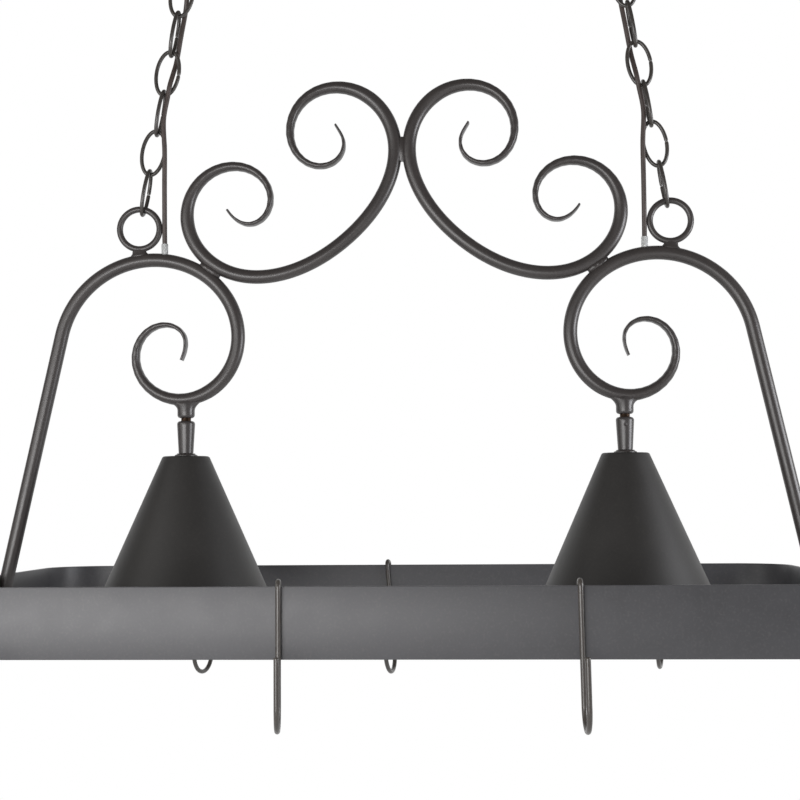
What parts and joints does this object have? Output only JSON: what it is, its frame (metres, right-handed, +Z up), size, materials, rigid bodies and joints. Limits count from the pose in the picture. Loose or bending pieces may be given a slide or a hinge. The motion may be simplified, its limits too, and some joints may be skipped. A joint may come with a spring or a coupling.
{
  "type": "hanging pot rack",
  "caption": "Ceiling-hung pot rack: flat steel band, two bent tube arches with scrolls, two chains, cone downlights and sliding S hooks.",
  "frame": {"origin": "on the ceiling plane, midway between the two canopies", "axes": "+Z up; +X along the rack to the right as seen in the picture; -Y towards the viewer"},
  "size_m": [0.8358, 0.5698, 0.8406],
  "materials": {
    "dark_paint": "satin",
    "band_paint": "satin",
    "shade_paint": "satin",
    "chain_finish": "satin",
    "cord_plastic": "matte",
    "clear_plastic": "clear",
    "brass": "satin",
    "black_plastic": "matte",
    "frosted_glass": "frosted",
    "zinc_steel": "bright zinc"
  },
  "bodies": {
    "ceiling": {"mounting_strap_left": "zinc_steel", "canopy_left": "dark_paint", "ceiling_loop_left": "chain_finish", "collar_left": "dark_paint", "mounting_strap_right": "zinc_steel", "canopy_right": "dark_paint", "ceiling_loop_right": "chain_finish", "collar_right": "dark_paint"},
    "chain_left": {"chain_left_1": "chain_finish", "chain_left_2": "chain_finish", "chain_left_3": "chain_finish", "chain_left_4": "chain_finish", "chain_left_5": "chain_finish", "chain_left_6": "chain_finish", "chain_left_7": "chain_finish", "cord_left": "cord_plastic"},
    "chain_right": {"chain_right_1": "chain_finish", "chain_right_2": "chain_finish", "chain_right_3": "chain_finish", "chain_right_4": "chain_finish", "chain_right_5": "chain_finish", "chain_right_6": "chain_finish", "chain_right_7": "chain_finish", "cord_right": "cord_plastic"},
    "rack": {"band": "band_paint", "arch_left": "dark_paint", "scroll_left": "dark_paint", "ring_left": "dark_paint", "sleeve_left": "clear_plastic", "ferrule_left": "dark_paint", "ball_nipple_left": "brass", "arch_right": "dark_paint", "scroll_right": "dark_paint", "ring_right": "dark_paint", "sleeve_right": "clear_plastic", "ferrule_right": "dark_paint", "ball_nipple_right": "brass", "band_screw_left_lower": "zinc_steel", "band_screw_left_upper": "zinc_steel", "band_screw_right_lower": "zinc_steel", "band_screw_right_upper": "zinc_steel"},
    "lamp_left": {"swivel_left": "dark_paint", "check_ring_left": "dark_paint", "shade_left": "shade_paint", "lampholder_left": "black_plastic"},
    "bulb_left": {"bulb_left": "frosted_glass"},
    "lamp_right": {"swivel_right": "dark_paint", "check_ring_right": "dark_paint", "shade_right": "shade_paint", "lampholder_right": "black_plastic"},
    "bulb_right": {"bulb_right": "frosted_glass"},
    "hook_front_1": {"hook_front_1": "dark_paint"},
    "hook_front_2": {"hook_front_2": "dark_paint"},
    "hook_front_3": {"hook_front_3": "dark_paint"},
    "hook_back_1": {"hook_back_1": "dark_paint"},
    "hook_back_2": {"hook_back_2": "dark_paint"},
    "hook_back_3": {"hook_back_3": "dark_paint"}
  },
  "joints": [
    {"name": "chain_left_sway", "type": "hinge", "parent": "ceiling", "child": "chain_left", "pos_m": [-0.2154, 0, -0.0669], "axis": [1, 0, 0], "range_deg": [-15, 15], "deforming": ["cord_left"]},
    {"name": "rack_sway", "type": "hinge", "parent": "chain_left", "child": "rack", "pos_m": [-0.26505, 0, -0.34848], "axis": [1, 0, 0], "range_deg": [-20, 20], "deforming": ["cord_left", "cord_right"]},
    {"name": "chain_right_sway", "type": "hinge", "parent": "ceiling", "child": "chain_right", "pos_m": [0.2154, 0, -0.0669], "axis": [1, 0, 0], "range_deg": [-15, 15], "deforming": ["cord_right"]},
    {"name": "lamp_left_swivel", "type": "hinge", "parent": "rack", "child": "lamp_left", "pos_m": [-0.22041, 0, -0.57105], "axis": [1, 0, 0], "range_deg": [-12, 12]},
    {"name": "bulb_left_turn", "type": "hinge", "parent": "lamp_left", "child": "bulb_left", "pos_m": [-0.22041, 0, -0.67105], "axis": [0, 0, 1], "range_deg": [-360, 0]},
    {"name": "lamp_right_swivel", "type": "hinge", "parent": "rack", "child": "lamp_right", "pos_m": [0.22041, 0, -0.57105], "axis": [1, 0, 0], "range_deg": [-12, 12]},
    {"name": "bulb_right_turn", "type": "hinge", "parent": "lamp_right", "child": "bulb_right", "pos_m": [0.22041, 0, -0.67105], "axis": [0, 0, 1], "range_deg": [-360, 0]},
    {"name": "hook_front_1_slide", "type": "slide", "parent": "rack", "child": "hook_front_1", "axis": [1, 0, 0], "range_m": [-0.005, 0.09]},
    {"name": "hook_front_2_slide", "type": "slide", "parent": "rack", "child": "hook_front_2", "axis": [1, 0, 0], "range_m": [-0.06, 0.06]},
    {"name": "hook_front_3_slide", "type": "slide", "parent": "rack", "child": "hook_front_3", "axis": [1, 0, 0], "range_m": [-0.06, 0.06]},
    {"name": "hook_back_1_slide", "type": "slide", "parent": "rack", "child": "hook_back_1", "axis": [1, 0, 0], "range_m": [-0.06, 0.06]},
    {"name": "hook_back_2_slide", "type": "slide", "parent": "rack", "child": "hook_back_2", "axis": [1, 0, 0], "range_m": [-0.06, 0.06]},
    {"name": "hook_back_3_slide", "type": "slide", "parent": "rack", "child": "hook_back_3", "axis": [1, 0, 0], "range_m": [-0.06, 0.06]}
  ],
  "couplings": [
    {"joint": "chain_right_sway", "follows": "chain_left_sway", "ratio": 1}
  ]
}
